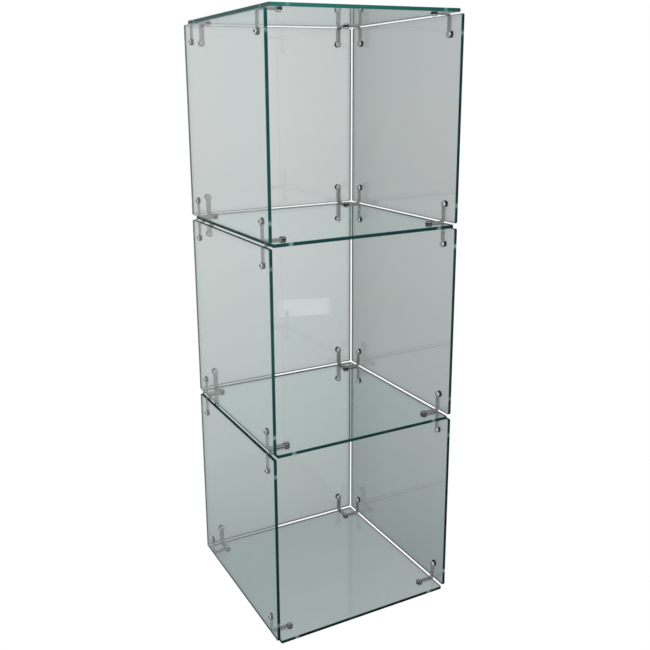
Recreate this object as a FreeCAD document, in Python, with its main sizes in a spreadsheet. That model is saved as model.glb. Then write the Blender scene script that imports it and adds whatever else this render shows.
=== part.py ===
import FreeCAD, Part
import os
import Sketcher

# A three-tier display tower with an open front. Square drilled glass sheets make its base,
# shelves, top and walls, and bent clips, screws and round nuts hold the sheets together.
# The origin is the centre of the base sheet's underside, with +Z up and the open front facing -Y.

doc = FreeCAD.newDocument("glass_display_tower")
sizes = doc.addObject("Spreadsheet::Sheet", "sizes")

# Driving dimensions in millimetres
DIMENSIONS = (
    ("panel_side", 350),
    ("glass_thickness", 6),
    ("panel_gap", 2),
    ("hole_inset", 31),
    ("hole_clearance", 0.75),
    ("corner_cut", 1.5),
    ("arris", 0.6),
    ("clip_width", 9),
    ("clip_thickness", 2.5),
    ("bend_radius", 4),
    ("eye_margin", 0.25),
    ("eye_clearance", 0.2),
    ("screw_diameter", 6),
    ("head_diameter", 12),
    ("head_taper", 1.5),
    ("head_height", 2),
    ("socket_width", 4),
    ("socket_depth", 1.2),
    ("countersink_clearance", 0.15),
    ("countersink_recess", 0.2),
    ("nut_setback", 0.5),
    ("nut_taper", 1.25),
    ("nut_height", 2.5),
    ("thread_clearance", 0.1),
    ("tip_recess", 0.4),
)
for row, (alias, length) in enumerate(DIMENSIONS, start=1):
    sizes.set("A%d" % row, alias)
    sizes.set("B%d" % row, str(length))
    sizes.setAlias("B%d" % row, alias)
doc.recompute()

# Lengths that follow from the driving dimensions
HOLE_FROM_CENTRE = "(sizes.panel_side / 2 - sizes.hole_inset)"
WALL_FACE = "(sizes.panel_side / 2 + sizes.panel_gap)"
REACH = "(sizes.hole_inset + sizes.panel_gap)"
PITCH = "(sizes.panel_side + 2 * sizes.panel_gap + sizes.glass_thickness)"
SHANK_RADIUS = "(sizes.screw_diameter / 2)"
GLASS_HOLE_RADIUS = "(%s + sizes.hole_clearance)" % SHANK_RADIUS
EYE_HOLE_RADIUS = "(%s + sizes.eye_clearance)" % SHANK_RADIUS
TIP_TO_GLASS = "(sizes.clip_thickness + sizes.nut_height - sizes.tip_recess)"
HEAD_RADIUS = "(sizes.head_diameter / 2)"
SEATED_HEAD_RADIUS = "(%s - sizes.countersink_clearance - sizes.countersink_recess)" % HEAD_RADIUS
EYE_RADIUS = "(%s + sizes.eye_margin)" % HEAD_RADIUS
NUT_RADIUS = "(%s - sizes.nut_setback)" % HEAD_RADIUS

TIERS = ("lower", "middle", "upper")
DECKS = ("base", "lower_shelf", "upper_shelf", "top")
X_AXIS = FreeCAD.Vector(1, 0, 0)
Y_AXIS = FreeCAD.Vector(0, 1, 0)
Z_AXIS = FreeCAD.Vector(0, 0, 1)
DIAGONAL = X_AXIS + Y_AXIS

# Outward direction of each wall, and direction of each corner from the middle
WALLS = {"left": -X_AXIS, "back": Y_AXIS, "right": X_AXIS}
CORNERS = {
    "front_left": -X_AXIS - Y_AXIS,
    "front_right": X_AXIS - Y_AXIS,
    "back_right": X_AXIS + Y_AXIS,
    "back_left": Y_AXIS - X_AXIS,
}

# How nearly an edge must point along an axis to count as running along it
ALONG_SHARE = 0.999


def value(expression):
    """The length that an expression of the sheet gives now."""
    return float(sizes.evalExpression(expression))


def place(item, rotation, x, y, z):
    """Turn an object, and bind its position to expressions of the sheet."""
    item.Placement = FreeCAD.Placement(FreeCAD.Vector(), rotation)
    for axis, expression in (("x", x), ("y", y), ("z", z)):
        item.setExpression("Placement.Base." + axis, expression)


def signed(sign, length):
    """A length taken to one side, to the other, or not at all."""
    return "%d * %s" % (sign, length)


def origin_feature(body, role):
    return next(item for item in body.Origin.OriginFeatures if item.Role == role)


def sketch_on(body, role, name):
    sketch = body.newObject("Sketcher::SketchObject", name)
    sketch.AttachmentSupport = [(origin_feature(body, role), "")]
    sketch.MapMode = "FlatFace"
    return sketch


def bind(sketch, expression, kind, *where):
    index = sketch.addConstraint(Sketcher.Constraint(kind, *where, value(expression)))
    sketch.setExpression("Constraints[%d]" % index, expression)


def bind_point(sketch, item, end, x, y):
    """Hold one point of a sketch at two expressions, or on an axis where one is None."""
    for expression, kind, across in ((x, "DistanceX", -2), (y, "DistanceY", -1)):
        if expression is None:
            sketch.addConstraint(Sketcher.Constraint("PointOnObject", item, end, across))
        else:
            bind(sketch, expression, kind, -1, 1, item, end)


def polygon(sketch, corners):
    """Closed outline through corners, each a pair of expressions or None for an axis."""
    points = [FreeCAD.Vector(*(0 if part is None else value(part) for part in corner)) for corner in corners]
    first = sketch.GeometryCount
    count = len(points)
    for number in range(count):
        sketch.addGeometry(Part.LineSegment(points[number], points[(number + 1) % count]))
    for number in range(count):
        following = first + (number + 1) % count
        sketch.addConstraint(Sketcher.Constraint("Coincident", first + number, 2, following, 1))
    for number, (x, y) in enumerate(corners):
        bind_point(sketch, first + number, 1, x, y)


def circle(sketch, radius, x=None, y=None):
    centre = FreeCAD.Vector(*(0 if part is None else value(part) for part in (x, y)))
    item = sketch.addGeometry(Part.Circle(centre, Z_AXIS, value(radius)))
    bind(sketch, radius, "Radius", item)
    bind_point(sketch, item, 3, x, y)


def pad(body, sketch, name, length, symmetric=False):
    feature = body.newObject("PartDesign::Pad", name)
    feature.Profile = sketch
    feature.SideType = "Symmetric" if symmetric else "One side"
    feature.setExpression("Length", length)
    return feature


def through_pocket(body, sketch, name):
    """Cut a sketch through the side of the body that its normal points to."""
    feature = body.newObject("PartDesign::Pocket", name)
    feature.Profile = sketch
    feature.Type = "ThroughAll"
    feature.Reversed = True
    return feature


def turned(pattern_name, body, originals, occurrences, angle):
    """Repeat features about the body's Z axis."""
    feature = body.newObject("PartDesign::PolarPattern", pattern_name)
    feature.Originals = originals
    feature.Axis = (origin_feature(body, "Z_Axis"), [""])
    feature.Occurrences = occurrences
    feature.Angle = angle
    body.Tip = feature
    return feature


def edge_names(shape, wanted):
    return ["Edge%d" % number for number, edge in enumerate(shape.Edges, start=1) if wanted(edge)]


def dress(body, kind, name, base, wanted, size_name, expression):
    """Chamfer or fillet those edges of a feature that a test picks out."""
    doc.recompute()
    feature = body.newObject(kind, name)
    feature.Base = (base, edge_names(base.Shape, wanted))
    feature.setExpression(size_name, expression)
    body.Tip = feature
    return feature


def is_straight(edge):
    return isinstance(edge.Curve, Part.Line)


def runs_along(edge, axis):
    return is_straight(edge) and abs(edge.Curve.Direction.dot(axis)) > ALONG_SHARE


# Glass sheets


def glass_sheet(label, countersunk=False):
    """Square sheet on z = 0 with cut corners, ground edges and a hole near each corner."""
    body = doc.addObject("PartDesign::Body", label)
    outline = sketch_on(body, "XY_Plane", label + "_outline")
    half = value("sizes.panel_side") / 2
    corners = [FreeCAD.Vector(x * half, y * half) for x, y in ((-1, -1), (1, -1), (1, 1), (-1, 1))]
    for number in range(4):
        outline.addGeometry(Part.LineSegment(corners[number], corners[(number + 1) % 4]))
    for number in range(4):
        outline.addConstraint(Sketcher.Constraint("Coincident", number, 2, (number + 1) % 4, 1))
        outline.addConstraint(Sketcher.Constraint("Vertical" if number % 2 else "Horizontal", number))
    outline.addConstraint(Sketcher.Constraint("Symmetric", 0, 1, 1, 2, -1, 1))
    outline.addConstraint(Sketcher.Constraint("Equal", 0, 1))
    bind(outline, "sizes.panel_side", "Distance", 0)
    sheet = pad(body, outline, label + "_sheet", "sizes.glass_thickness")
    cut = dress(body, "PartDesign::Chamfer", label + "_corners", sheet,
                lambda edge: runs_along(edge, Z_AXIS), "Size", "sizes.corner_cut")
    dress(body, "PartDesign::Chamfer", label + "_arris", cut,
          lambda edge: not runs_along(edge, Z_AXIS), "Size", "sizes.arris")
    drill = sketch_on(body, "XY_Plane", label + "_drill")
    circle(drill, GLASS_HOLE_RADIUS, HOLE_FROM_CENTRE, HOLE_FROM_CENTRE)
    hole = through_pocket(body, drill, label + "_hole")
    holes = turned(label + "_holes", body, [hole], 4, 360)
    if countersunk:
        dress(body, "PartDesign::Chamfer", label + "_countersinks", holes,
              lambda edge: not is_straight(edge) and edge.BoundBox.ZMax < value("sizes.arris") / 2,
              "Size", HEAD_RADIUS + " - " + GLASS_HOLE_RADIUS)
    return body


def deck_foot(level):
    """Height of the underside of a deck."""
    return "(%d * %s)" % (level, PITCH)


def tier_foot(level):
    """Height of the upper face of the deck that a tier stands on."""
    return "(%s + sizes.glass_thickness)" % deck_foot(level)


def make_decks():
    decks = []
    for level, deck in enumerate(DECKS):
        label = deck if deck.endswith("shelf") else deck + "_panel"
        sheet = glass_sheet(label, countersunk=deck == "base")
        place(sheet, FreeCAD.Rotation(), "0", "0", deck_foot(level))
        decks.append(sheet)
    return decks


def make_walls():
    walls = []
    for level, tier in enumerate(TIERS):
        middle = "%s + sizes.panel_gap + sizes.panel_side / 2" % tier_foot(level)
        for side, outward in WALLS.items():
            sheet = glass_sheet("%s_%s_panel" % (tier, side))
            place(sheet, FreeCAD.Rotation(Z_AXIS, outward), signed(outward.x, WALL_FACE),
                  signed(outward.y, WALL_FACE), middle)
            walls.append(sheet)
    return walls


# Clips


def clip(label, arms):
    """Bent strip with its deck eye at the origin and one or two arms, each turned up along a wall."""
    body = doc.addObject("PartDesign::Body", label)
    side_view = sketch_on(body, "XZ_Plane", label + "_bend")
    inside = REACH + " - sizes.clip_thickness"
    polygon(side_view, ((None, None), (REACH, None), (REACH, REACH), (inside, REACH),
                        (inside, "sizes.clip_thickness"), (None, "sizes.clip_thickness")))
    strip = pad(body, side_view, label + "_strip", "sizes.clip_width", symmetric=True)
    wall_eye = sketch_on(body, "YZ_Plane", label + "_wall_eye")
    wall_eye.setExpression("AttachmentOffset.Base.z", inside)
    circle(wall_eye, EYE_RADIUS, None, REACH)
    wall_disc = pad(body, wall_eye, label + "_wall_disc", "sizes.clip_thickness")
    wall_drill = sketch_on(body, "YZ_Plane", label + "_wall_drill")
    circle(wall_drill, EYE_HOLE_RADIUS, None, REACH)
    arm = [strip, wall_disc, through_pocket(body, wall_drill, label + "_wall_hole")]
    if arms > 1:
        turned(label + "_arms", body, arm, arms, 90)
    deck_eye = sketch_on(body, "XY_Plane", label + "_deck_eye")
    circle(deck_eye, EYE_RADIUS)
    pad(body, deck_eye, label + "_deck_disc", "sizes.clip_thickness")
    deck_drill = sketch_on(body, "XY_Plane", label + "_deck_drill")
    circle(deck_drill, EYE_HOLE_RADIUS)
    drilled = through_pocket(body, deck_drill, label + "_deck_hole")
    on_the_line = value("sizes.clip_thickness") / 10

    def at_bend(edge, distance, height):
        """Whether an edge crosses an arm at a distance from the deck eye and a height."""
        middle = edge.CenterOfMass
        away = FreeCAD.Vector(max(middle.x, middle.y) - distance, 0, middle.z - height)
        return is_straight(edge) and not runs_along(edge, Z_AXIS) and away.Length < on_the_line

    bent = dress(body, "PartDesign::Fillet", label + "_inner_bend", drilled,
                 lambda edge: at_bend(edge, value(inside), value("sizes.clip_thickness")),
                 "Radius", "sizes.bend_radius")
    dress(body, "PartDesign::Fillet", label + "_outer_bend", bent,
          lambda edge: at_bend(edge, value(REACH), 0), "Radius", "sizes.bend_radius + sizes.clip_thickness")
    return body


def arms_at(corner):
    """A back corner joins two walls to its deck, and a front corner one."""
    return 2 if corner.y > 0 else 1


def turn_at(corner):
    """Turn of a clip that takes its first arm from +X to its wall."""
    if corner.x > 0:
        return 0
    return 90 if corner.y > 0 else 180


def make_clips():
    clips = []
    for level, tier in enumerate(TIERS):
        for end in ("bottom", "top"):
            for name, corner in CORNERS.items():
                arms = arms_at(corner)
                item = clip("%s_%s_%s_clip" % (tier, end, name), arms)
                rotation = FreeCAD.Rotation(Z_AXIS, turn_at(corner))
                face = tier_foot(level)
                if end == "top":
                    rotation = rotation * FreeCAD.Rotation(DIAGONAL if arms > 1 else X_AXIS, 180)
                    face = deck_foot(level + 1)
                place(item, rotation, signed(corner.x, HOLE_FROM_CENTRE),
                      signed(corner.y, HOLE_FROM_CENTRE), face)
                clips.append(item)
    return clips


# Screws and nuts, turned about +Z with the screw's tip at z = 0


def revolve(body, sketch, name):
    feature = body.newObject("PartDesign::Revolution", name)
    feature.Profile = sketch
    feature.ReferenceAxis = (sketch, ["V_Axis"])
    feature.Angle = 360
    return feature


def socket(body, name, head_top):
    """Hexagon socket sunk into the head."""
    sketch = sketch_on(body, "XY_Plane", name)
    sketch.setExpression("AttachmentOffset.Base.z", head_top)
    flat = "sizes.socket_width / 2"
    for number in range(6):
        start = FreeCAD.Rotation(Z_AXIS, 60 * number).multVec(X_AXIS) * value(flat)
        end = FreeCAD.Rotation(Z_AXIS, 60 * number + 60).multVec(X_AXIS) * value(flat)
        sketch.addGeometry(Part.LineSegment(start, end))
    for number in range(6):
        following = (number + 1) % 6
        sketch.addConstraint(Sketcher.Constraint("Coincident", number, 2, following, 1))
    ring = sketch.addGeometry(Part.Circle(FreeCAD.Vector(), Z_AXIS, value(flat)), True)
    sketch.addConstraint(Sketcher.Constraint("Coincident", ring, 3, -1, 1))
    for number in range(6):
        sketch.addConstraint(Sketcher.Constraint("PointOnObject", number, 1, ring))
    for number in range(5):
        sketch.addConstraint(Sketcher.Constraint("Equal", number, number + 1))
    sketch.addConstraint(Sketcher.Constraint("PointOnObject", 0, 1, -1))
    bind(sketch, flat, "Radius", ring)
    pocket = body.newObject("PartDesign::Pocket", name + "_cut")
    pocket.Profile = sketch
    pocket.setExpression("Length", "sizes.socket_depth")


def button_screw(label, grip):
    """Low round head on a plain shank that grips the given thickness beyond the clip's face."""
    body = doc.addObject("PartDesign::Body", label)
    profile = sketch_on(body, "XZ_Plane", label + "_profile")
    seat = "%s + %s" % (TIP_TO_GLASS, grip)
    head_top = seat + " + sizes.head_height"
    polygon(profile, ((None, None), (SHANK_RADIUS, None), (SHANK_RADIUS, seat), (HEAD_RADIUS, seat),
                      (HEAD_RADIUS + " - sizes.head_taper", head_top), (None, head_top)))
    revolve(body, profile, label + "_turned")
    socket(body, label + "_socket", head_top)
    return body


def flush_screw(label):
    """Screw whose cone-shaped head sinks into a countersunk sheet."""
    body = doc.addObject("PartDesign::Body", label)
    profile = sketch_on(body, "XZ_Plane", label + "_profile")
    head_top = "%s + sizes.glass_thickness - sizes.countersink_recess" % TIP_TO_GLASS
    neck = "%s - (%s - %s)" % (head_top, SEATED_HEAD_RADIUS, SHANK_RADIUS)
    polygon(profile, ((None, None), (SHANK_RADIUS, None), (SHANK_RADIUS, neck),
                      (SEATED_HEAD_RADIUS, head_top), (None, head_top)))
    revolve(body, profile, label + "_turned")
    socket(body, label + "_socket", head_top)
    return body


def round_nut(label):
    """Round nut with its crown on z = 0 and its bearing face above."""
    body = doc.addObject("PartDesign::Body", label)
    profile = sketch_on(body, "XZ_Plane", label + "_profile")
    bore = SHANK_RADIUS + " + sizes.thread_clearance"
    height = "sizes.nut_height"
    polygon(profile, ((bore, None), (NUT_RADIUS + " - sizes.nut_taper", None), (NUT_RADIUS, height),
                      (bore, height)))
    revolve(body, profile, label + "_turned")
    return body


def group(label, master, spots):
    """One node of separate copies of a fastener, each placed by a rotation and three expressions."""
    copies = []
    for number, (rotation, x, y, z) in enumerate(spots, start=1):
        copy = doc.addObject("App::Link", "%s_%02d" % (label, number))
        copy.LinkedObject = master
        place(copy, rotation, x, y, z)
        copies.append(copy)
    compound = doc.addObject("Part::Compound", label)
    compound.Links = copies
    return compound


def wall_spots(level, inward):
    """Places at the twelve wall holes of a tier, moved inwards from the walls' inner faces."""
    spots = []
    from_axis = "(%s - %s)" % (WALL_FACE, inward)
    for outward in WALLS.values():
        rotation = FreeCAD.Rotation(Z_AXIS, outward)
        for along in (-1, 1):
            for height in (REACH, "sizes.panel_side + 2 * sizes.panel_gap - " + REACH):
                side_step = signed(along, HOLE_FROM_CENTRE)
                x = signed(outward.x, from_axis) if outward.x else side_step
                y = signed(outward.y, from_axis) if outward.y else side_step
                spots.append((rotation, x, y, "%s + %s" % (tier_foot(level), height)))
    return spots


def deck_spots(rotation, z):
    """Places at the four holes of a deck."""
    return [(rotation, signed(corner.x, HOLE_FROM_CENTRE), signed(corner.y, HOLE_FROM_CENTRE), z)
            for corner in CORNERS.values()]


def make_fasteners():
    upright = FreeCAD.Rotation()
    overturned = FreeCAD.Rotation(X_AXIS, 180)
    wall_screw = button_screw("wall_screw_master", "sizes.glass_thickness")
    shelf_screw = button_screw("shelf_screw_master", "sizes.glass_thickness + sizes.clip_thickness")
    base_screw = flush_screw("base_screw_master")
    nut = round_nut("nut_master")
    nut_depth = "(sizes.clip_thickness + sizes.nut_height)"
    groups = []
    for level, tier in enumerate(TIERS):
        groups.append(group(tier + "_wall_screws", wall_screw, wall_spots(level, TIP_TO_GLASS)))
        groups.append(group(tier + "_wall_nuts", nut, wall_spots(level, nut_depth)))
    for level, deck in enumerate(DECKS):
        master = base_screw if deck == "base" else wall_screw if deck == "top" else shelf_screw
        if deck == "top":
            rotation, face, outward = upright, deck_foot(level), "-"
        else:
            rotation, face, outward = overturned, tier_foot(level), "+"
        groups.append(group(deck + "_screws", master, deck_spots(rotation, face + outward + TIP_TO_GLASS)))
        groups.append(group(deck + "_nuts", nut, deck_spots(rotation, face + outward + nut_depth)))
    return groups


def check(parts):
    """Stop before anything is written if the document or a sub-part is not sound."""
    for item in doc.Objects:
        if "Invalid" in item.State or "Error" in item.State:
            raise RuntimeError("%s did not compute: %s" % (item.Label, item.State))
    for item in parts:
        if item.Shape.isNull() or not item.Shape.isValid():
            raise RuntimeError("%s has no valid shape" % item.Label)


sub_parts = make_decks() + make_walls() + make_clips() + make_fasteners()
doc.recompute()
check(sub_parts)
os.makedirs("parts", exist_ok=True)
for item in sub_parts:
    item.Shape.exportStep("parts/%s.step" % item.Label)
    print("%-34s solids %2d  volume %10.1f" % (item.Label, len(item.Shape.Solids), item.Shape.Volume))
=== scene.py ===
import math

import bmesh
import bpy
from mathutils import Matrix, Vector


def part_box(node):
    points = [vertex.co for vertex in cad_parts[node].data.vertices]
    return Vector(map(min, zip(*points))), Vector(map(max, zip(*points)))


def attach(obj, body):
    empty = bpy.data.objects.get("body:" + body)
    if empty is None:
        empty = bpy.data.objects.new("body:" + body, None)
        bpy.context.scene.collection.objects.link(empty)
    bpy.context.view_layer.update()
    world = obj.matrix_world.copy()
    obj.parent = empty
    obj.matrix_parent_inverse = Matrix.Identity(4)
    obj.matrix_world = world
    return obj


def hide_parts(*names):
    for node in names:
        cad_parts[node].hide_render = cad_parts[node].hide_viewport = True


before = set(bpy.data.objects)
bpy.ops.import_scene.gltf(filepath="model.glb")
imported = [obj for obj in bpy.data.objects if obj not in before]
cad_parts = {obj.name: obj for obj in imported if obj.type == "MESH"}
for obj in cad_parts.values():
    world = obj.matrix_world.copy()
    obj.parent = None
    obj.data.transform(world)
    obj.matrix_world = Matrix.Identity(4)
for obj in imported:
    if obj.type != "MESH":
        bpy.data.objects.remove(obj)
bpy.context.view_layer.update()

# An open-front display tower of clear glass sheets, held at its corners by bent satin clips
# on grey linings, with button screws outside and round nuts inside. Lengths are in metres.

TIERS = ("lower", "middle", "upper")
DECKS = ("base", "lower_shelf", "upper_shelf", "top")
X, Y, Z = range(3)
X_AXIS = Vector((1, 0, 0))
Y_AXIS = Vector((0, 1, 0))
Z_AXIS = Vector((0, 0, 1))
WALLS = {"left": -X_AXIS, "back": Y_AXIS, "right": X_AXIS}
CORNERS = {
    "front_left": -X_AXIS - Y_AXIS,
    "front_right": X_AXIS - Y_AXIS,
    "back_right": X_AXIS + Y_AXIS,
    "back_left": Y_AXIS - X_AXIS,
}

# Numbers of the materials on a sheet, on a clip, and on a screw or nut
FACE, EDGE, ARRIS, DRILLED = range(4)
SATIN, RUBBER, BLACK = range(3)
BRUSHED, BRIGHT, DARK = range(3)

# Sizes read from the frame
deck_low, deck_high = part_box("base_panel")
clip_low, clip_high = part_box("lower_bottom_front_right_clip")
nut_low, nut_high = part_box("base_nuts")
head_low, head_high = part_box("top_screws")
GLASS = deck_high.z - deck_low.z
WALL_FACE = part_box("lower_right_panel")[0].x
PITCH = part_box("lower_shelf")[0].z
EYE_RADIUS = (clip_high.y - clip_low.y) / 2
HOLE = clip_low.x + EYE_RADIUS
REACH = WALL_FACE - HOLE
STRIP = nut_low.z - deck_high.z
NUT_HEIGHT = nut_high.z - nut_low.z
NUT_RADIUS = nut_high.x - HOLE
HEAD_RADIUS = head_high.x - HOLE
HEAD_HEIGHT = head_high.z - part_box("top_panel")[1].z
TIP_RECESS = head_low.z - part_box("top_nuts")[0].z
HEIGHT = head_high.z

# Sizes of the fittings as shares of those
STRIP_WIDTH_SHARE = 0.72
LINING_SHARE = 0.3
SEAT_SHARE = 0.01
RIM_SHARE = 0.12
RIM_CHAMFER_SHARE = 0.25
BEND_SHARE = 1.6
SHANK_SHARE = 0.5
EYE_HOLE_SHARE = 0.512
HALF_STRIP = EYE_RADIUS * STRIP_WIDTH_SHARE
LINING = STRIP * LINING_SHARE
SEAT = STRIP * SEAT_SHARE
RIM = STRIP * RIM_SHARE
RIM_CHAMFER = RIM * RIM_CHAMFER_SHARE
BEND_RADIUS = STRIP * (1 + BEND_SHARE)
FLAT = REACH - BEND_RADIUS
BEND_RUN = (BEND_RADIUS - STRIP / 2) * math.pi / 2
ARM_LENGTH = FLAT + BEND_RUN + REACH - BEND_RADIUS
SHANK_RADIUS = HEAD_RADIUS * SHANK_SHARE
EYE_HOLE_RADIUS = EYE_RADIUS * EYE_HOLE_SHARE

# Fineness of the meshes
ARC_STEPS = 40
BEND_STEPS = 10
LATHE_STEPS = 48
SHARP_DEGREES = 35

# How much of a face's normal lies along the axis of a sheet or clip: above the first the face is flat,
# below the second it is a cut edge, and below the third it is the rim of a clip
FLAT_FACE_SHARE = 0.95
CUT_FACE_SHARE = 0.05
RIM_FACE_SHARE = 0.9

# Camera, fitted to the photograph
IMAGE_SIDE_PIXELS = 650
FOCAL_PIXELS = 802.07
CENTRE_PIXELS = (288, 290)
AZIMUTH_DEGREES = -26.182
ELEVATION_DEGREES = 14.117
ROLL_DEGREES = -0.965
EYE_POINT = Vector((-0.7008, -1.2935, 0.9628))
SENSOR_MILLIMETRES = 36


# Shader helpers

# Numbers of a Mix node's sockets for colours: factor, first and second, and the result
MIX_INPUTS = (0, 6, 7)
MIX_RESULT = 2
MIDDLE_SHARE = 0.5
GRAIN_DETAIL = 3
STREAK_DETAIL = 4
EVEN = (1, 1, 1)
WHITE = (1.0, 1.0, 1.0)


def new_material(name):
    material = bpy.data.materials.new(name)
    material.use_nodes = True
    tree = material.node_tree
    return material, tree, tree.nodes["Principled BSDF"]


def add(tree, kind, **settings):
    """New node, with its inputs and properties set by name."""
    node = tree.nodes.new(kind)
    for key, setting in settings.items():
        if key in node.inputs:
            node.inputs[key].default_value = setting
        else:
            setattr(node, key, setting)
    return node


def feed(tree, place, term):
    """Link a socket to an input, or set a number or a colour of three numbers there."""
    if isinstance(term, bpy.types.NodeSocket):
        tree.links.new(term, place)
    else:
        place.default_value = (*term, 1) if isinstance(term, tuple) else term


def noise(tree, per_metre, detail=GRAIN_DETAIL, stretch=EVEN):
    """Noise in object space, drawn out along an axis whose stretch is below one."""
    where = add(tree, "ShaderNodeTexCoord")
    mapping = add(tree, "ShaderNodeMapping", Scale=stretch)
    tree.links.new(where.outputs["Object"], mapping.inputs["Vector"])
    texture = add(tree, "ShaderNodeTexNoise", Scale=per_metre, Detail=detail)
    tree.links.new(mapping.outputs["Vector"], texture.inputs["Vector"])
    return texture.outputs["Fac"]


def ranged(tree, source, low, high, start=0.0, end=1.0, kind="LINEAR"):
    """Map values from start to end onto low to high."""
    node = add(tree, "ShaderNodeMapRange", interpolation_type=kind)
    node.inputs["From Min"].default_value = start
    node.inputs["From Max"].default_value = end
    node.inputs["To Min"].default_value = low
    node.inputs["To Max"].default_value = high
    tree.links.new(source, node.inputs["Value"])
    return node.outputs["Result"]


def maths(tree, operation, *terms):
    """One step of arithmetic on sockets and numbers."""
    node = add(tree, "ShaderNodeMath", operation=operation)
    for place, term in zip(node.inputs, terms):
        feed(tree, place, term)
    return node.outputs["Value"]


def mixed(tree, factor, first, second, kind="MIX"):
    """Mix two colours, each a socket or three numbers."""
    node = add(tree, "ShaderNodeMix", data_type="RGBA", blend_type=kind)
    for number, term in zip(MIX_INPUTS, (factor, first, second)):
        feed(tree, node.inputs[number], term)
    return node.outputs[MIX_RESULT]


def ramped(tree, source, stops, start=0.0, end=1.0):
    """Colours through pairs of place and colour, for values from start to end."""
    node = add(tree, "ShaderNodeValToRGB")
    elements = node.color_ramp.elements
    while len(elements) < len(stops):
        elements.new(MIDDLE_SHARE)
    for element, (place, colour) in zip(elements, stops):
        element.position = (place - start) / (end - start)
        element.color = (*colour, 1)
    tree.links.new(ranged(tree, source, 0.0, 1.0, start, end), node.inputs["Fac"])
    return node.outputs["Color"]


def position(tree, kind):
    """Parts of a place: Object in metres, Generated in shares of the box or as a world's direction."""
    where = add(tree, "ShaderNodeTexCoord")
    parts = add(tree, "ShaderNodeSeparateXYZ")
    tree.links.new(where.outputs[kind], parts.inputs["Vector"])
    return list(parts.outputs)


# Glass

GLASS_IOR = 1.52
TINT_COLOUR = (0.05, 0.63, 0.60, 1)
TINT_PER_METRE = 12.0
# Clear faces: width of the border with painted shade, and the faint marks of wiping
BORDER_SHARE = 0.035
BORDER_SHADE_COLOUR = (0.89, 0.91, 0.91)
WIPED_COLOUR = (0.985, 0.99, 0.99)
WIPED_ROUGHNESS = (0.0, 0.015)
WIPES_PER_METRE = 9
# Drilled holes
GROUND_COLOURS = ((0.88, 0.97, 0.96), (0.78, 0.93, 0.91))
GROUND_ROUGHNESS = (0.40, 0.60)
GROUND_CLEAR_SHARE = 0.4
GROUND_GRAIN_PER_METRE = 600
# Painted shade and light of the cut edges by height, from the floor to the top
EDGE_SHARES = (
    (0.0, (0.0025, 0.007, 0.006)),
    (0.006, (0.0025, 0.007, 0.006)),
    (0.01, (0.001, 0.020, 0.014)),
    (0.33, (0.007, 0.055, 0.048)),
    (0.50, (0.012, 0.090, 0.080)),
    (0.66, (0.012, 0.078, 0.072)),
    (0.80, (0.010, 0.095, 0.091)),
    (0.985, (0.008, 0.088, 0.088)),
    (0.993, (0.034, 0.260, 0.220)),
)
# What is left of that painted shade at the left and at the right, the painted light on the top's own left
# edge, and the painted light that makes the back paler
EDGE_LEFT_SHARE = 1.05
EDGE_RIGHT_SHARE = 0.46
TOP_LEFT_LIGHT_SHARES = (0.072, 0.177, 0.158)
BACK_PALE_SHARE = 0.5
BACK_LIGHT_SHARES = (0.22, 0.36, 0.34)
# Streaks on the edges, and pale patches of painted light at the holes: colour, and strength for a range
# of the noise
STREAKS_PER_METRE = 60
STREAK_COLOUR = (0.05, 0.25, 0.24)
STREAK_STRENGTH_SHARES = (0.0, 0.15)
STREAK_NOISE_SHARES = (0.4, 0.8)
HOLE_LIGHT_COLOUR = (0.40, 0.62, 0.66)
HOLE_LIGHT_STRENGTH_SHARES = (0.25, 0.75)
HOLE_LIGHT_NOISE_SHARES = (0.35, 0.65)
EDGE_ROUGHNESS = (0.10, 0.30)
EDGE_GLOSS_SHARE = 0.04
FROST_COLOUR = (0.55, 0.75, 0.72)
ARRIS_FROST_SHARE = 0.2


def tint_glass(tree, shader, clear_share):
    """Float glass, whose green deepens along the way through it."""
    shader.inputs["Transmission Weight"].default_value = clear_share
    shader.inputs["IOR"].default_value = GLASS_IOR
    tint = add(tree, "ShaderNodeVolumeAbsorption", Color=TINT_COLOUR, Density=TINT_PER_METRE)
    tree.links.new(tint.outputs["Volume"], tree.nodes["Material Output"].inputs["Volume"])


def clear_glass(sheet_axis):
    """Polished faces with faint wiping marks, and painted shade along every border but the front one."""
    material, tree, shader = new_material("clear_glass_" + "xyz"[sheet_axis])
    tint_glass(tree, shader, 1)
    marks = noise(tree, WIPES_PER_METRE, STREAK_DETAIL)
    border = BORDER_SHARE
    for axis, share in enumerate(position(tree, "Generated")):
        if axis != sheet_axis:
            border = maths(tree, "MINIMUM", maths(tree, "SUBTRACT", 1.0, share), border)
            if axis != Y:
                border = maths(tree, "MINIMUM", share, border)
    inside = ranged(tree, border, 0.0, 1.0, 0.0, BORDER_SHARE, "SMOOTHSTEP")
    wiped = mixed(tree, marks, WHITE, WIPED_COLOUR)
    tree.links.new(mixed(tree, inside, BORDER_SHADE_COLOUR, wiped), shader.inputs["Base Color"])
    tree.links.new(ranged(tree, marks, *WIPED_ROUGHNESS), shader.inputs["Roughness"])
    return material


def ground_glass():
    """Frosted sides of the drilled holes."""
    material, tree, shader = new_material("ground_glass")
    tint_glass(tree, shader, GROUND_CLEAR_SHARE)
    grain = noise(tree, GROUND_GRAIN_PER_METRE)
    tree.links.new(mixed(tree, grain, *GROUND_COLOURS), shader.inputs["Base Color"])
    tree.links.new(ranged(tree, grain, *GROUND_ROUGHNESS), shader.inputs["Roughness"])
    return material


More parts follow.
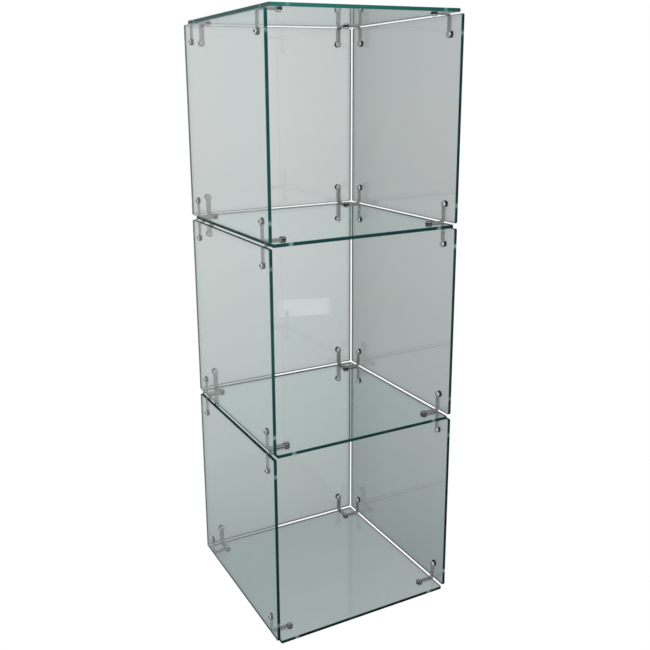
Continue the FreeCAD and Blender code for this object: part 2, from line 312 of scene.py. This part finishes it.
def edge_shade(tree, x, y, z):
    """Deep teal with painted shade towards the floor and the right, and painted light at the top's left
    and at the back.
    """
    by_height = ramped(tree, ranged(tree, z, 0.0, 1.0, 0.0, HEIGHT), EDGE_SHARES)
    by_side = ranged(tree, x, EDGE_LEFT_SHARE, EDGE_RIGHT_SHARE, -WALL_FACE, WALL_FACE)
    shade = mixed(tree, 1.0, by_height, by_side, "MULTIPLY")
    in_top = maths(tree, "GREATER_THAN", z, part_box("top_panel")[0].z)
    at_left = ranged(tree, x, 1.0, 0.0, deck_low.x, deck_low.x + GLASS)
    shade = mixed(tree, maths(tree, "MULTIPLY", in_top, at_left), shade, TOP_LEFT_LIGHT_SHARES)
    above_base = maths(tree, "GREATER_THAN", z, GLASS)
    at_back = ranged(tree, y, 0.0, BACK_PALE_SHARE, deck_high.y - GLASS, deck_high.y)
    return mixed(tree, maths(tree, "MULTIPLY", above_base, at_back), shade, BACK_LIGHT_SHARES)


def painted_hole_light(tree, x, y, z):
    """Painted light: one on an edge where it passes a hole, and zero away from the holes."""
    in_tier = maths(tree, "SUBTRACT", maths(tree, "FLOORED_MODULO", z, PITCH), (PITCH + GLASS) / 2)
    patch = 0.0
    for along in (x, y, in_tier):
        from_middle = maths(tree, "ABSOLUTE", along)
        away = maths(tree, "ABSOLUTE", maths(tree, "SUBTRACT", from_middle, HOLE))
        beside = ranged(tree, away, 1.0, 0.0, 0.0, EYE_RADIUS, "SMOOTHSTEP")
        patch = maths(tree, "MAXIMUM", beside, patch)
    return patch


def edge_glass(name, frost):
    """Cut edges with faint streaks and painted shade, paler with painted light in front of the holes."""
    material, tree, shader = new_material(name)
    shader.inputs["Specular IOR Level"].default_value = EDGE_GLOSS_SHARE
    x, y, z = position(tree, "Object")
    streaks = noise(tree, STREAKS_PER_METRE, STREAK_DETAIL)
    streak = ranged(tree, streaks, *STREAK_STRENGTH_SHARES, *STREAK_NOISE_SHARES)
    streaked = mixed(tree, streak, edge_shade(tree, x, y, z), STREAK_COLOUR)
    uneven = ranged(tree, streaks, *HOLE_LIGHT_STRENGTH_SHARES, *HOLE_LIGHT_NOISE_SHARES)
    pale = maths(tree, "MULTIPLY", painted_hole_light(tree, x, y, z), uneven)
    patched = mixed(tree, pale, streaked, HOLE_LIGHT_COLOUR)
    tree.links.new(mixed(tree, frost, patched, FROST_COLOUR), shader.inputs["Base Color"])
    tree.links.new(ranged(tree, streaks, *EDGE_ROUGHNESS), shader.inputs["Roughness"])
    return material


# Metals, coatings and painted shade

METAL = 1
COATING = 0
SATIN_GRAIN_PER_METRE = 900
BRUSHED_GRAIN_PER_METRE = 700
BRIGHT_GRAIN_PER_METRE = 400
COATING_GRAIN_PER_METRE = 1500


def grained_material(name, kind, colours, roughness, per_metre, stretch=EVEN):
    """Metal or coating whose two colours and range of roughness follow one fine grain."""
    material, tree, shader = new_material(name)
    shader.inputs["Metallic"].default_value = kind
    grain = noise(tree, per_metre, stretch=stretch)
    tree.links.new(mixed(tree, grain, *colours), shader.inputs["Base Color"])
    tree.links.new(ranged(tree, grain, *roughness), shader.inputs["Roughness"])
    return material


def satin_nickel():
    """Strips of the clips, with a grain drawn out along their height."""
    colours = ((0.40, 0.395, 0.38), (0.50, 0.495, 0.48))
    roughness = (0.32, 0.46)
    stretch = (1, 1, 0.15)
    return grained_material("satin_nickel", METAL, colours, roughness, SATIN_GRAIN_PER_METRE, stretch)


def brushed_nickel():
    """Shanks and flush heads of the screws, and crowns of the nuts."""
    colours = ((0.46, 0.455, 0.44), (0.58, 0.575, 0.56))
    roughness = (0.28, 0.42)
    return grained_material("brushed_nickel", METAL, colours, roughness, BRUSHED_GRAIN_PER_METRE)


def bright_nickel():
    """Domes of the screws, and sides of the nuts at the walls and under the top."""
    colours = ((0.80, 0.80, 0.79), (0.88, 0.88, 0.87))
    roughness = (0.10, 0.20)
    return grained_material("bright_nickel", METAL, colours, roughness, BRIGHT_GRAIN_PER_METRE)


def painted_shade():
    """Painted shade in the sockets and on the lower rims of the screws, and on the shoulders of the nuts
    on the base and shelves.
    """
    colours = ((0.02, 0.02, 0.02), (0.05, 0.05, 0.05))
    roughness = (0.4, 0.5)
    return grained_material("painted_shade", COATING, colours, roughness, COATING_GRAIN_PER_METRE)


def grey_lining():
    """Rubber between the strips and the glass."""
    colours = ((0.62, 0.62, 0.61), (0.70, 0.70, 0.69))
    roughness = (0.6, 0.75)
    return grained_material("grey_lining", COATING, colours, roughness, COATING_GRAIN_PER_METRE)


def black_rim():
    """Black on the rims around the clips' eyes."""
    colours = ((0.006, 0.007, 0.007), (0.015, 0.016, 0.016))
    roughness = (0.25, 0.4)
    return grained_material("black_rim", COATING, colours, roughness, COATING_GRAIN_PER_METRE)


# Glass sheets


def paint_sheet(node, sheet_axis, materials):
    """Give a sheet's faces, edges, arrises and drilled holes their own materials."""
    mesh = node.data
    low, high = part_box(node.name)
    mesh.materials.clear()
    for material in materials:
        mesh.materials.append(material)
    for face in mesh.polygons:
        facing = abs(face.normal[sheet_axis])
        inset = min(min(face.center[axis] - low[axis], high[axis] - face.center[axis])
                    for axis in (X, Y, Z) if axis != sheet_axis)
        if facing > FLAT_FACE_SHARE:
            face.material_index = FACE
        elif inset > GLASS:
            face.material_index = DRILLED
        else:
            face.material_index = EDGE if facing < CUT_FACE_SHARE else ARRIS


def paint_glass():
    """Paint every sheet by the axis that it faces along."""
    clear = [clear_glass(axis) for axis in (X, Y, Z)]
    edge = edge_glass("glass_edge", 0.0)
    arris = edge_glass("glass_arris", ARRIS_FROST_SHARE)
    ground = ground_glass()
    sheets = {}
    for deck in DECKS:
        sheets[deck if deck.endswith("shelf") else deck + "_panel"] = Z
    for tier in TIERS:
        for side in WALLS:
            sheets["%s_%s_panel" % (tier, side)] = Y if side == "back" else X
    for name, axis in sheets.items():
        paint_sheet(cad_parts[name], axis, (clear[axis], edge, arris, ground))


# Mesh helpers


def make_mesh(name, bm, materials):
    """Mesh with smooth curved faces and sharp corners."""
    mesh = bpy.data.meshes.new(name)
    bmesh.ops.recalc_face_normals(bm, faces=bm.faces[:])
    bm.to_mesh(mesh)
    bm.free()
    mesh.shade_smooth()
    mesh.set_sharp_from_angle(angle=math.radians(SHARP_DEGREES))
    for material in materials:
        mesh.materials.append(material)
    return mesh


def place_piece(name, mesh, matrix, node):
    """Put a piece of a mesh in the place of a node of the frame."""
    piece = bpy.data.objects.new(name, mesh)
    bpy.context.scene.collection.objects.link(piece)
    piece.matrix_world = matrix
    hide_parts(node)
    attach(piece, "root")


def circle_points(centre, radius, start, end, steps):
    """Points about a centre from one angle to another, in degrees."""
    points = []
    for step in range(steps + 1):
        angle = math.radians(start + (end - start) * step / steps)
        points.append(centre + Vector((math.cos(angle), math.sin(angle))) * radius)
    return points


def inward_normals(loop):
    """Direction into the material at each point of a loop that keeps the material on its left."""
    normals = []
    for number in range(len(loop)):
        ahead = loop[(number + 1) % len(loop)] - loop[number - 1]
        normals.append(Vector((-ahead.y, ahead.x)).normalized())
    return normals


def ring_edges(bm, ring):
    """Edges from each point of a ring to the one before it."""
    edges = []
    for number, vert in enumerate(ring):
        edges.append(bm.edges.get((ring[number - 1], vert)))
    return edges


def join_rings(bm, lower, upper):
    """Band of faces between two rings of as many points."""
    faces = []
    for number in range(len(lower)):
        following = (number + 1) % len(lower)
        corners = (lower[number], lower[following], upper[following], upper[number])
        faces.append(bm.faces.new(corners))
    return faces


def plate(bm, loops, steps, material_number):
    """Plate between loops, with rims that pass through pairs of height and inset."""
    bottoms = []
    tops = []
    made = []
    for loop in loops:
        normals = inward_normals(loop)
        rings = []
        for height, inset in steps:
            rings.append([bm.verts.new((*(point + normal * inset), height))
                          for point, normal in zip(loop, normals)])
        for lower, upper in zip(rings, rings[1:]):
            made += join_rings(bm, lower, upper)
        bottoms += ring_edges(bm, rings[0])
        tops += ring_edges(bm, rings[-1])
    for edges in (bottoms, tops):
        filled = bmesh.ops.triangle_fill(bm, use_beauty=True, edges=edges)
        made += [item for item in filled["geom"] if isinstance(item, bmesh.types.BMFace)]
    for face in made:
        face.material_index = material_number


# Clips


def eye_centres(arms):
    """Middles of a flat clip's eyes: the deck's at the origin, then one along each arm."""
    return [Vector((0, 0)), Vector((ARM_LENGTH, 0)), Vector((0, ARM_LENGTH))][:arms + 1]


def clip_loops(arms, margin, hole_radius):
    """Outline of a clip laid flat and its eye holes."""
    radius = EYE_RADIUS - margin
    half = HALF_STRIP - margin
    spread = math.degrees(math.asin(half / radius))
    eyes = eye_centres(arms)
    outline = circle_points(eyes[1], radius, spread - 180, 180 - spread, ARC_STEPS)
    if arms > 1:
        outline.append(Vector((half, half)))
        outline += circle_points(eyes[2], radius, spread - 90, 270 - spread, ARC_STEPS)
        outline += circle_points(eyes[0], radius, 90 + spread, 360 - spread, ARC_STEPS)
    else:
        outline += circle_points(eyes[0], radius, spread, 360 - spread, ARC_STEPS)
    holes = []
    for eye in eyes:
        holes.append(circle_points(eye, hole_radius, 360, 360 / ARC_STEPS, ARC_STEPS - 1))
    return [outline] + holes


def blacken_rims(bm, arms):
    """Make the outer rims of the eyes black."""
    bm.normal_update()
    for face in bm.faces:
        middle = face.calc_center_median()
        away = min((middle.xy - eye).length for eye in eye_centres(arms))
        if abs(face.normal.z) < RIM_FACE_SHARE and EYE_RADIUS - 2 * RIM < away < EYE_RADIUS:
            face.material_index = BLACK


def bend_arm(bm, axis):
    """Turn the far end of an arm up along its wall."""
    for step in range(BEND_STEPS + 1):
        cut = axis * (FLAT + BEND_RUN * step / BEND_STEPS)
        everything = bm.verts[:] + bm.edges[:] + bm.faces[:]
        bmesh.ops.bisect_plane(bm, geom=everything, plane_co=cut, plane_no=axis)
    for vert in bm.verts:
        run = vert.co.dot(axis) - FLAT
        if run > 0:
            height = vert.co.z
            across = vert.co - axis * vert.co.dot(axis) - Z_AXIS * height
            angle = math.pi / 2 * min(run / BEND_RUN, 1)
            radius = BEND_RADIUS - height
            rise = max(run - BEND_RUN, 0)
            vert.co = (across + axis * (FLAT + radius * math.sin(angle))
                       + Z_AXIS * (BEND_RADIUS - radius * math.cos(angle) + rise))


def clip_mesh(name, arms, materials):
    """Bent satin strip on its lining, with black rims around its eyes."""
    bm = bmesh.new()
    lining_steps = ((SEAT, 0), (LINING, 0))
    strip_steps = (
        (LINING, RIM),
        (LINING + RIM, 0),
        (STRIP - RIM, 0),
        (STRIP - RIM_CHAMFER, RIM_CHAMFER),
        (STRIP, RIM),
    )
    plate(bm, clip_loops(arms, RIM, EYE_HOLE_RADIUS + RIM), lining_steps, RUBBER)
    plate(bm, clip_loops(arms, 0, EYE_HOLE_RADIUS), strip_steps, SATIN)
    blacken_rims(bm, arms)
    for axis in (X_AXIS, Y_AXIS)[:arms]:
        bend_arm(bm, axis)
    return make_mesh(name, bm, materials)


def clip_matrix(corner, level, end):
    """Place of a clip at one corner of a tier, below or above."""
    back = corner.y > 0
    turn = 0 if corner.x > 0 else math.radians(90 if back else 180)
    rotation = Matrix.Rotation(turn, 4, Z_AXIS)
    height = level * PITCH + GLASS
    if end == "top":
        rotation = rotation @ Matrix.Rotation(math.pi, 4, X_AXIS + Y_AXIS if back else X_AXIS)
        height = (level + 1) * PITCH
    return Matrix.Translation(Vector((corner.x * HOLE, corner.y * HOLE, height))) @ rotation


def make_clips(materials):
    """One-armed clips at the front corners of the tiers, and two-armed ones at the back."""
    two_way = clip_mesh("two_way_clip", 1, materials)
    three_way = clip_mesh("three_way_clip", 2, materials)
    for level, tier in enumerate(TIERS):
        for end in ("bottom", "top"):
            for name, corner in CORNERS.items():
                node = "%s_%s_%s_clip" % (tier, end, name)
                mesh = three_way if corner.y > 0 else two_way
                matrix = clip_matrix(corner, level, end)
                place_piece(node + "_bent", mesh, matrix, node)


# Screws and nuts, turned about +Z


def hexagon_share(step):
    """Radius of a hexagon along a turn, as a share of its corners' radius."""
    angle = 2 * math.pi * step / LATHE_STEPS
    return math.cos(math.pi / 6) / math.cos(angle % (math.pi / 3) - math.pi / 6)


def lathe_ring(bm, matrix, radius, height, hexagonal):
    """Points of one turn, round or as a hexagon."""
    ring = []
    for step in range(LATHE_STEPS):
        angle = 2 * math.pi * step / LATHE_STEPS
        reach = radius * hexagon_share(step) if hexagonal else radius
        point = Vector((reach * math.cos(angle), reach * math.sin(angle), height))
        ring.append(bm.verts.new(matrix @ point))
    return ring


def lathe(bm, matrix, profile):
    """Turned body through rows of radius, height, material number and whether the ring is a hexagon."""
    rings = []
    numbers = []
    for radius, height, number, hexagonal in profile:
        rings.append(lathe_ring(bm, matrix, radius, height, hexagonal))
        numbers.append(number)
    for lower, upper, number in zip(rings, rings[1:], numbers[1:]):
        for face in join_rings(bm, lower, upper):
            face.material_index = number
    for end in (0, -1):
        bm.faces.new(rings[end]).material_index = numbers[end]


# Button head: radius and height of its dome as shares of the head, the height up to which its rim gets
# painted shade, and its socket
DOME_SHARES = ((0.97, 0.0), (1.0, 0.10), (0.98, 0.36), (0.90, 0.64), (0.78, 0.86), (0.64, 1.0))
SHADED_RIM_TOP_SHARE = 0.5
SOCKET_RADIUS_SHARE = 0.42
SOCKET_FLOOR_SHARE = 0.40
SOCKET_RADIUS = HEAD_RADIUS * SOCKET_RADIUS_SHARE
SOCKET_FLOOR = HEAD_HEIGHT * SOCKET_FLOOR_SHARE


def shank_rows(top):
    """Plain shank from its chamfered tip at zero."""
    return [
        (SHANK_RADIUS - RIM, 0, BRUSHED, False),
        (SHANK_RADIUS, RIM, BRUSHED, False),
        (SHANK_RADIUS, top, BRUSHED, False),
    ]


def socket_rows(top, floor):
    """Hexagon socket with a chamfered rim, and painted shade inside."""
    return [
        (SOCKET_RADIUS + RIM, top, BRIGHT, True),
        (SOCKET_RADIUS, top - RIM, DARK, True),
        (SOCKET_RADIUS, floor, DARK, True),
    ]


def button_profile(seat):
    """Shank below a domed head whose lower rim has painted shade, and a socket."""
    rows = shank_rows(seat)
    for radius_share, height_share in DOME_SHARES:
        number = DARK if height_share < SHADED_RIM_TOP_SHARE else BRIGHT
        rows.append((HEAD_RADIUS * radius_share, seat + HEAD_HEIGHT * height_share, number, False))
    return rows + socket_rows(seat + HEAD_HEIGHT, seat + SOCKET_FLOOR)


def flush_profile(head_radius, neck, head_top):
    """Shank below a cone-shaped head that ends level with the glass around it."""
    cone = (head_radius, head_top, BRUSHED, False)
    return shank_rows(neck) + [cone] + socket_rows(head_top, head_top - SOCKET_FLOOR)


# Nut: radius and height of its crown, shoulder and flank as shares of the nut
CROWN_SHARES = ((0.58, 0.94), (0.61, 1.0), (0.72, 0.99), (0.82, 0.90))
SHOULDER_SHARES = ((0.90, 0.74), (0.985, 0.42))
FLANK_SHARES = ((1.0, 0.04), (0.985, 0.0), (0.58, 0.0))


def nut_profile(shoulder, flank):
    """Round nut with a brushed crown at zero, and the given materials on the sides above it."""
    rows = []
    for number, shares in ((BRUSHED, CROWN_SHARES), (shoulder, SHOULDER_SHARES), (flank, FLANK_SHARES)):
        for radius_share, height_share in shares:
            rows.append((NUT_RADIUS * radius_share, NUT_HEIGHT * (1 - height_share), number, False))
    return rows


def wall_spots(level, inward):
    """Places at the twelve wall holes of a tier, moved inwards from the walls' inner faces."""
    spots = []
    foot = level * PITCH + GLASS
    for outward in WALLS.values():
        turn = Z_AXIS.rotation_difference(outward).to_matrix().to_4x4()
        sideways = outward.cross(Z_AXIS)
        for side in (-1, 1):
            column = outward * (WALL_FACE - inward) + sideways * (side * HOLE)
            for height in (REACH, PITCH - GLASS - REACH):
                spots.append(Matrix.Translation(column + Z_AXIS * (foot + height)) @ turn)
    return spots


def deck_spots(height, upright):
    """Places at the four holes of a deck, facing up or down."""
    turn = Matrix() if upright else Matrix.Rotation(math.pi, 4, X_AXIS)
    return [Matrix.Translation(Vector((corner.x * HOLE, corner.y * HOLE, height))) @ turn
            for corner in CORNERS.values()]


def make_fastener_group(node, spots, profile, materials):
    """One piece of turned bodies in the place of a node."""
    bm = bmesh.new()
    for matrix in spots:
        lathe(bm, matrix, profile)
    mesh = make_mesh(node + "_turned", bm, materials)
    place_piece(mesh.name, mesh, Matrix(), node)


def make_fasteners(finishes):
    """Screws and nuts of the walls and decks, each with its tip or crown on the inner side."""
    nut_depth = STRIP + NUT_HEIGHT
    tip = nut_depth - TIP_RECESS
    wall_screw = button_profile(tip + GLASS)
    shelf_screw = button_profile(tip + GLASS + STRIP)
    sunk_low, sunk_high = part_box("base_screws")
    sunk_radius = sunk_high.x - HOLE
    sunk_top = sunk_high.z - sunk_low.z
    base_screw = flush_profile(sunk_radius, sunk_top - sunk_radius + SHANK_RADIUS, sunk_top)
    # Nuts at the walls and under the top keep bright sides; those standing on the base and shelves are a
    # shaded copy, with painted shade on their shoulders and a duller flank
    bright_nut = nut_profile(BRIGHT, BRIGHT)
    shaded_nut = nut_profile(DARK, BRUSHED)
    plain_finishes = (finishes[BRUSHED], finishes[BRIGHT])
    for level, tier in enumerate(TIERS):
        make_fastener_group(tier + "_wall_screws", wall_spots(level, tip), wall_screw, finishes)
        make_fastener_group(tier + "_wall_nuts", wall_spots(level, nut_depth), bright_nut, plain_finishes)
    for level, deck in enumerate(DECKS):
        upright = deck == "top"
        face = level * PITCH if upright else level * PITCH + GLASS
        inward = -1 if upright else 1
        screw = {"base": base_screw, "top": wall_screw}.get(deck, shelf_screw)
        nut = bright_nut if upright else shaded_nut
        screw_spots = deck_spots(face + inward * tip, upright)
        nut_spots = deck_spots(face + inward * nut_depth, upright)
        make_fastener_group(deck + "_screws", screw_spots, screw, finishes)
        make_fastener_group(deck + "_nuts", nut_spots, nut, finishes)


# Camera


def place_camera():
    """Camera of the photograph, whose optical centre lies off the middle of the picture."""
    azimuth = math.radians(AZIMUTH_DEGREES)
    elevation = math.radians(ELEVATION_DEGREES)
    roll = math.radians(ROLL_DEGREES)
    level = math.cos(elevation)
    back = Vector((math.sin(azimuth) * level, -math.cos(azimuth) * level, math.sin(elevation)))
    right = Z_AXIS.cross(back).normalized()
    up = back.cross(right)
    turned_right = right * math.cos(roll) + up * math.sin(roll)
    turned_up = up * math.cos(roll) - right * math.sin(roll)
    data = bpy.data.cameras.new("camera")
    data.sensor_width = SENSOR_MILLIMETRES
    data.lens = SENSOR_MILLIMETRES * FOCAL_PIXELS / IMAGE_SIDE_PIXELS
    data.shift_x = MIDDLE_SHARE - CENTRE_PIXELS[0] / IMAGE_SIDE_PIXELS
    data.shift_y = CENTRE_PIXELS[1] / IMAGE_SIDE_PIXELS - MIDDLE_SHARE
    camera = bpy.data.objects.new("camera", data)
    camera.matrix_world = Matrix((turned_right, turned_up, back)).transposed().to_4x4()
    camera.location = EYE_POINT
    bpy.context.scene.collection.objects.link(camera)
    bpy.context.scene.camera = camera


# Studio

LIGHT_BOUNCES = 64
# Light of the studio by height of the direction, and what is left of it by its turn to the right
HEIGHT_SHARES = (
    (-0.70, (0.285, 0.305, 0.302)),
    (-0.56, (0.340, 0.363, 0.360)),
    (-0.47, (0.455, 0.481, 0.476)),
    (-0.30, (0.565, 0.578, 0.572)),
    (-0.20, (0.618, 0.617, 0.614)),
    (-0.12, (0.622, 0.612, 0.609)),
    (-0.03, (0.655, 0.643, 0.640)),
    (0.17, (0.655, 0.650, 0.647)),
    (0.39, (0.580, 0.585, 0.580)),
    (0.60, (0.560, 0.568, 0.562)),
    (1.0, (0.460, 0.467, 0.462)),
)
SIDE_SHARES = (
    (0.34, (1.03, 1.02, 1.01)),
    (0.41, (1.0, 1.0, 1.0)),
    (0.44, (0.95, 0.96, 0.96)),
    (0.507, (0.88, 0.90, 0.90)),
    (0.515, (0.57, 0.595, 0.59)),
    (0.55, (0.68, 0.705, 0.70)),
    (0.62, (0.75, 0.77, 0.77)),
)
SIDE_REACH_SHARES = (0.30, 0.65)
# Brighter front, and how far forwards a direction points where that is full
FRONT_SHARE = 1.35
FRONT_REACH_SHARE = 0.5
# Small window low in front, by its reach to the right and down for one step forwards,
# its tilt, its soft rim as shares of its half width, and its light
WINDOW_SIDE_SHARES = (0.479, 0.559)
WINDOW_DOWN_SHARES = (0.253, 0.278)
WINDOW_TILT_SHARE = 0.085
WINDOW_RIM_SHARES = (0.9, 1.1)
WINDOW_COLOUR = (2.15, 2.22, 2.22)


def window(tree, x, y, z):
    """One inside the small window in front, and zero elsewhere."""
    ahead = maths(tree, "MULTIPLY", y, -1.0)
    inside = maths(tree, "GREATER_THAN", ahead, 0.0)
    sideways = maths(tree, "DIVIDE", x, ahead)
    tilt = maths(tree, "MULTIPLY", sideways, WINDOW_TILT_SHARE)
    down = maths(tree, "SUBTRACT", maths(tree, "DIVIDE", z, y), tilt)
    for slope, (near, far) in ((sideways, WINDOW_SIDE_SHARES), (down, WINDOW_DOWN_SHARES)):
        off = maths(tree, "ABSOLUTE", maths(tree, "SUBTRACT", slope, (near + far) / 2))
        full, gone = [(far - near) / 2 * share for share in WINDOW_RIM_SHARES]
        inside = maths(tree, "MULTIPLY", inside, ranged(tree, off, 1.0, 0.0, full, gone))
    return inside


def make_world():
    """White backdrop, and a grey studio that the glass shows and reflects, darker to the right."""
    world = bpy.data.worlds.new("studio")
    world.use_nodes = True
    bpy.context.scene.world = world
    tree = world.node_tree
    x, y, z = position(tree, "Generated")
    by_height = ramped(tree, z, HEIGHT_SHARES, -1.0, 1.0)
    level = maths(tree, "SQRT", maths(tree, "SUBTRACT", 1.0, maths(tree, "MULTIPLY", z, z)))
    by_side = ramped(tree, maths(tree, "DIVIDE", x, level), SIDE_SHARES, *SIDE_REACH_SHARES)
    by_front = ranged(tree, y, FRONT_SHARE, 1.0, -FRONT_REACH_SHARE, 0.0)
    sided = mixed(tree, 1.0, by_height, by_side, "MULTIPLY")
    fronted = mixed(tree, 1.0, sided, by_front, "MULTIPLY")
    lit = mixed(tree, window(tree, x, y, z), fronted, WINDOW_COLOUR)
    seen = add(tree, "ShaderNodeLightPath")
    backdrop = mixed(tree, seen.outputs["Is Camera Ray"], lit, WHITE)
    tree.links.new(backdrop, tree.nodes["Background"].inputs["Color"])


# Floor: how far it goes in tier heights, its drop below the base in thicknesses of glass,
# and the greys of its painted shade under the front and the back of the base
FLOOR_SHARE = 16
FLOOR_DROP_SHARE = 0.1
FLOOR_SHADE_COLOURS = ((0.392, 0.424, 0.416), (0.322, 0.355, 0.352))


def floor_material():
    """White to the camera from above, a glowing grey painted shade through the base that stands on it,
    and clear otherwise.
    """
    material, tree, shader = new_material("pale_floor")
    tree.nodes.remove(shader)
    x, y = position(tree, "Object")[:2]
    away = maths(tree, "MAXIMUM", maths(tree, "ABSOLUTE", x), maths(tree, "ABSOLUTE", y))
    under = ranged(tree, away, 1.0, 0.0, deck_high.x, deck_high.x + GLASS)
    seen = add(tree, "ShaderNodeLightPath")
    side = add(tree, "ShaderNodeNewGeometry")
    above = maths(tree, "SUBTRACT", 1.0, side.outputs["Backfacing"])
    backwards = ranged(tree, y, 0.0, 1.0, deck_low.y, deck_high.y)
    # Painted shade of the floor under the base, glowing grey, darker towards the back
    grey = add(tree, "ShaderNodeEmission")
    tree.links.new(mixed(tree, backwards, *FLOOR_SHADE_COLOURS), grey.inputs["Color"])
    white = add(tree, "ShaderNodeEmission", Color=(*WHITE, 1))
    shown = add(tree, "ShaderNodeBsdfTransparent")
    for factor, colour in ((under, grey), (seen.outputs["Is Camera Ray"], white)):
        choice = add(tree, "ShaderNodeMixShader")
        tree.links.new(maths(tree, "MULTIPLY", factor, above), choice.inputs[0])
        tree.links.new(shown.outputs[0], choice.inputs[1])
        tree.links.new(colour.outputs[0], choice.inputs[2])
        shown = choice
    tree.links.new(shown.outputs[0], tree.nodes["Material Output"].inputs["Surface"])
    return material


def make_floor():
    """Pale square under the tower."""
    corners = [corner * (PITCH * FLOOR_SHARE) for corner in CORNERS.values()]
    mesh = bpy.data.meshes.new("floor")
    mesh.from_pydata(corners, [], [tuple(range(len(corners)))])
    mesh.materials.append(floor_material())
    floor = bpy.data.objects.new("floor", mesh)
    floor.location.z = -GLASS * FLOOR_DROP_SHARE
    bpy.context.scene.collection.objects.link(floor)


def set_light_paths():
    """Plain colours, and enough bounces for light to cross every sheet."""
    scene = bpy.context.scene
    scene.view_settings.view_transform = "Standard"
    scene.cycles.max_bounces = LIGHT_BOUNCES
    scene.cycles.transmission_bounces = LIGHT_BOUNCES
    scene.cycles.glossy_bounces = LIGHT_BOUNCES


paint_glass()
make_clips((satin_nickel(), grey_lining(), black_rim()))
make_fasteners((brushed_nickel(), bright_nickel(), painted_shade()))
place_camera()
make_world()
make_floor()
set_light_paths()
